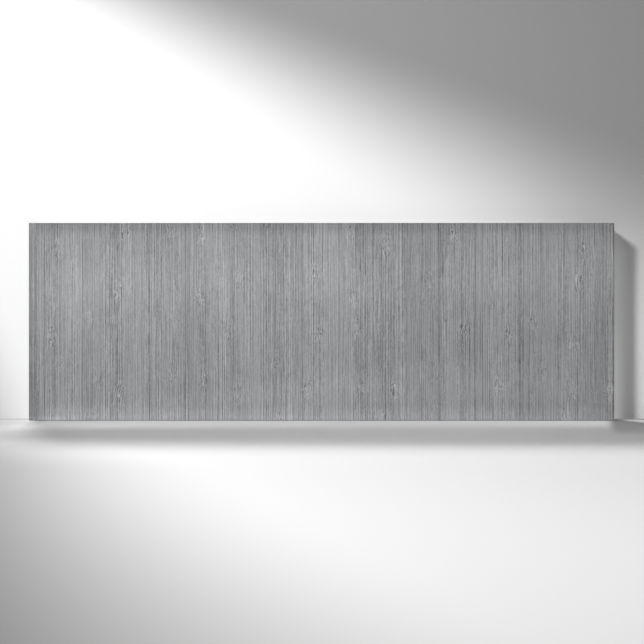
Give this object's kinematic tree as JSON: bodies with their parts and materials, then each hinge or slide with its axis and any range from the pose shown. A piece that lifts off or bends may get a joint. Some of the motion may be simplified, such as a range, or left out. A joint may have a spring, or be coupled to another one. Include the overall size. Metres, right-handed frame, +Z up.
{
  "type": "desk name plate",
  "caption": "Thick clear block that stands on its long edge, backed by a grey bamboo-grain print, with a bare face for a name.",
  "frame": {"origin": "middle of the footprint, on the surface that the plate stands on", "axes": "+X along the plate's length, -Y out of the face, +Z up"},
  "size_m": [0.216, 0.0136, 0.073],
  "materials": {
    "clear_acrylic": "polished",
    "clear_adhesive": "gloss",
    "grey_grain_print": "satin",
    "white_sheet": "matte"
  },
  "bodies": {
    "root": {"acrylic_block": "clear_acrylic", "clear_bonding_film": "clear_adhesive", "grain_print_sheet": "grey_grain_print", "backing_sheet": "white_sheet"}
  },
  "joints": []
}
